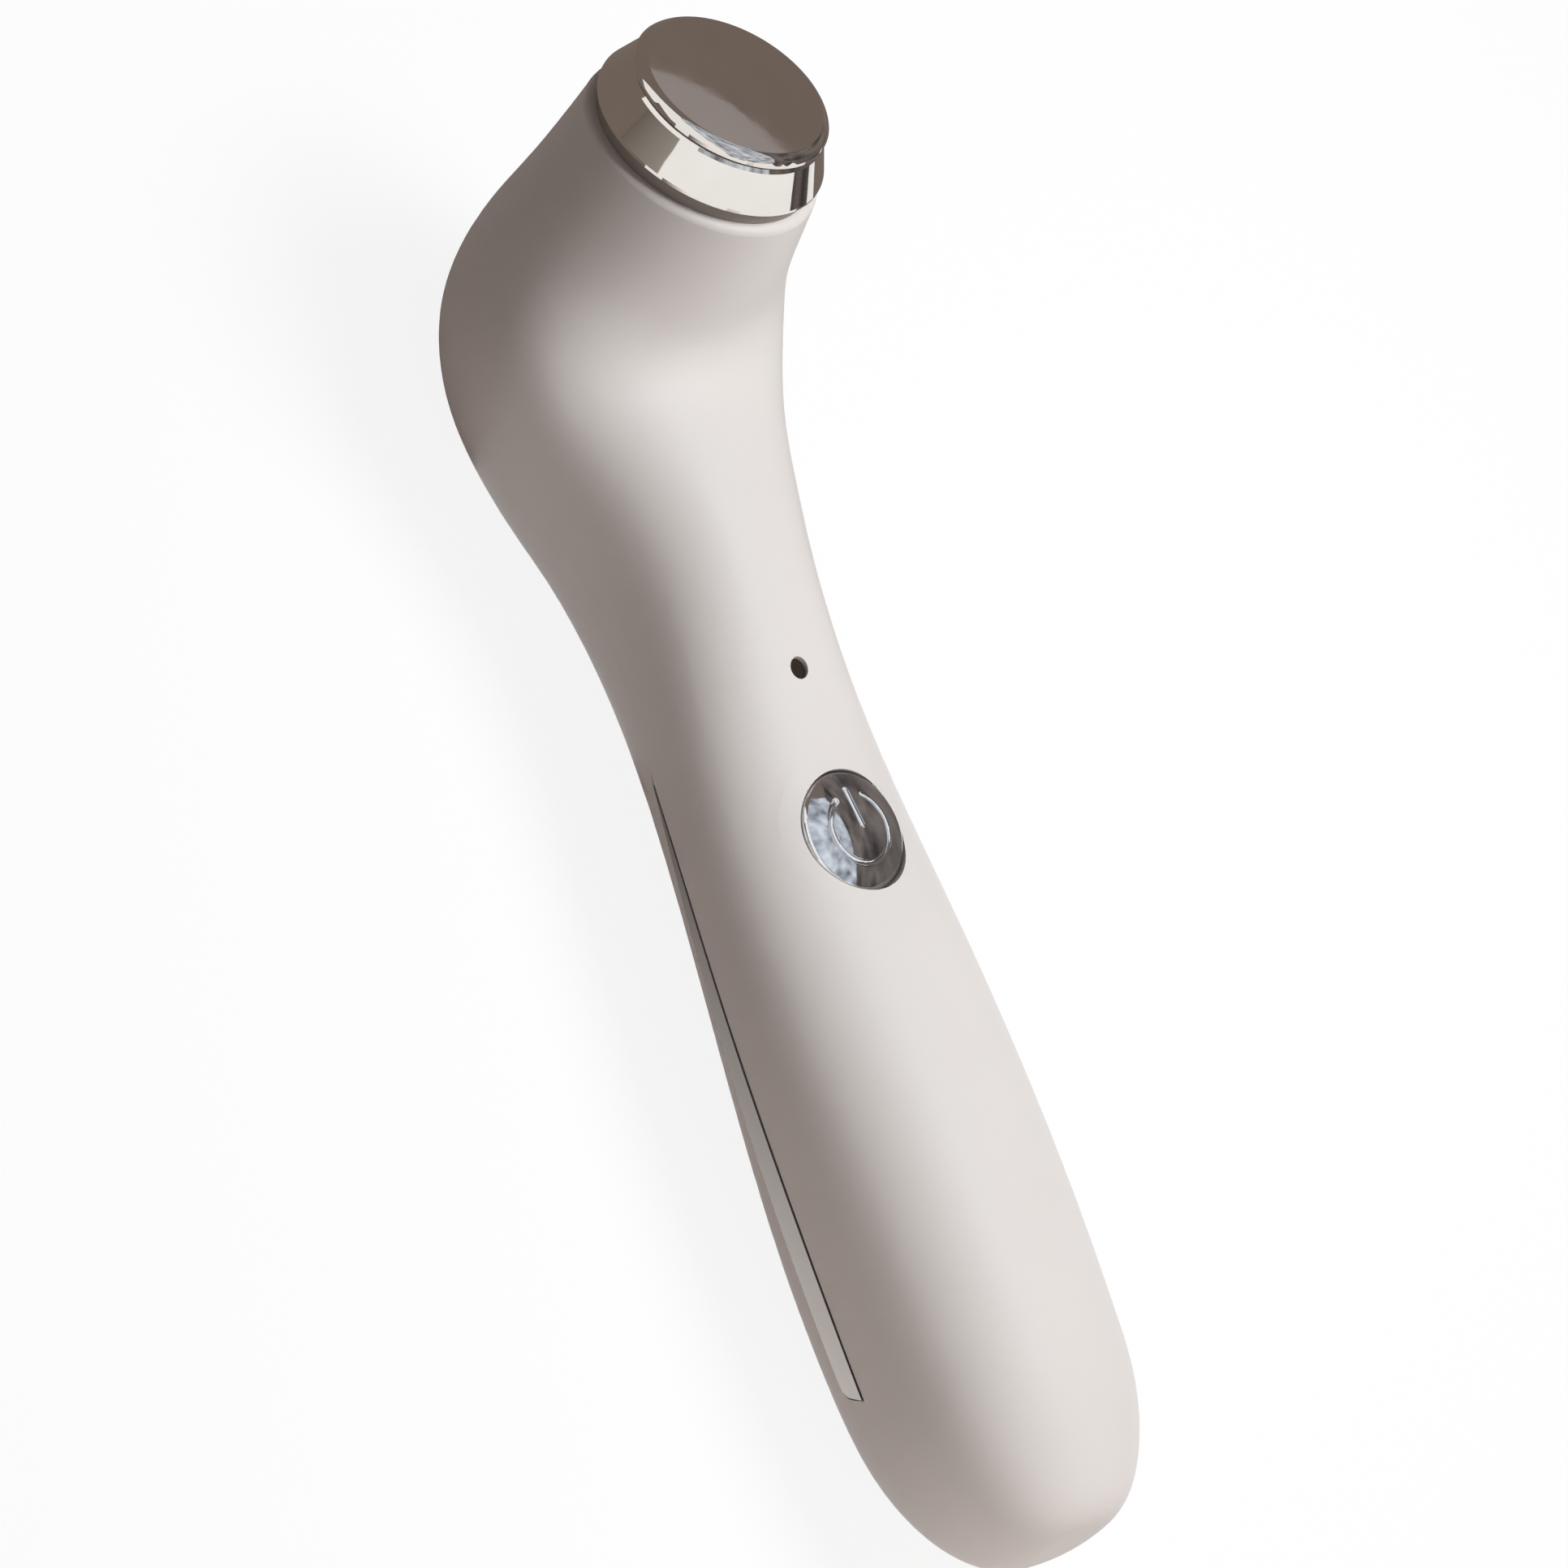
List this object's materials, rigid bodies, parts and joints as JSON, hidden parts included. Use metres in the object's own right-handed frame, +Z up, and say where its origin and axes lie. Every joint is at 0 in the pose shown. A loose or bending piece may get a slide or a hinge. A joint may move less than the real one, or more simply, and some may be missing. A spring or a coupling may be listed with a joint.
{
  "type": "facial massager",
  "caption": "Hand-held facial massager: curved soft-touch handle with angled head, round polished contact plate, chrome collar, domed push button and side contact strips.",
  "frame": {"origin": "middle of the bounding box in X and Y, on the surface the massager lies on", "axes": "+X along the handle towards the head, +Z up out of the button face, +Y to the left of the button"},
  "size_m": [0.1682, 0.0398, 0.0539],
  "materials": {
    "soft_touch": "satin soft-touch coat",
    "strip_metal": "polished",
    "collar_chrome": "mirror polish",
    "plate_metal": "dark mirror polish",
    "button_chrome": "mirror polish",
    "dark_rubber": "matte",
    "smoked_window": "smoked gloss",
    "frame_plastic": "moulded",
    "screw_steel": "plated",
    "heater_foil": "film",
    "board_green": "lacquered",
    "chip_black": "moulded",
    "component_tan": "fired",
    "led_white": "moulded",
    "cell_wrap": "wrapped",
    "foam_grey": "foam",
    "socket_steel": "stamped",
    "motor_steel": "drawn",
    "weight_brass": "sintered",
    "lead_red": "insulated",
    "lead_black": "insulated"
  },
  "bodies": {
    "housing": {"front_shell": "soft_touch", "rear_shell": "soft_touch", "side_strip_left": "strip_metal", "side_strip_right": "strip_metal", "head_collar": "collar_chrome", "contact_plate": "plate_metal", "plate_gasket": "dark_rubber", "rim_seal": "dark_rubber", "light_pipe": "smoked_window", "inner_frame": "frame_plastic", "plate_carrier": "frame_plastic", "motor_holder": "frame_plastic", "carrier_screws": "screw_steel", "board_screws": "screw_steel", "frame_screws": "screw_steel", "charge_board_screws": "screw_steel", "holder_screws": "screw_steel", "heater_film": "heater_foil", "main_board": "board_green", "charge_board": "board_green", "control_chip": "chip_black", "thermistor": "chip_black", "switch_body": "chip_black", "charge_socket_core": "chip_black", "board_parts": "component_tan", "status_led": "led_white", "motor_end_cap": "led_white", "battery_cell": "cell_wrap", "battery_pad": "foam_grey", "charge_socket_shell": "socket_steel", "motor_can": "motor_steel", "heater_lead_left": "lead_red", "motor_lead_left": "lead_red", "cell_lead_left": "lead_red", "charge_lead_left": "lead_red", "strip_lead_left": "lead_red", "heater_lead_right": "lead_black", "motor_lead_right": "lead_black", "cell_lead_right": "lead_black", "charge_lead_right": "lead_black", "strip_lead_right": "lead_black"},
    "button": {"button_cap": "button_chrome"},
    "plunger": {"switch_plunger": "led_white"},
    "rotor": {"motor_shaft": "motor_steel", "eccentric_weight": "weight_brass"}
  },
  "joints": [
    {"name": "button_press", "type": "slide", "parent": "housing", "child": "button", "axis": [-0.013, 0, 0.9999], "range_m": [-0.0003, 0], "stiffness_N_per_m": 2000, "springref_m": 0.0005},
    {"name": "plunger_press", "type": "slide", "parent": "housing", "child": "plunger", "axis": [-0.013, 0, 0.9999], "range_m": [-0.0003, 0]},
    {"name": "rotor_spin", "type": "hinge", "parent": "housing", "child": "rotor", "pos_m": [0.05023, 0, 0.0107], "axis": [0.9999, 0, 0.013], "continuous": true}
  ],
  "couplings": [
    {"joint": "plunger_press", "follows": "button_press", "ratio": 1}
  ]
}
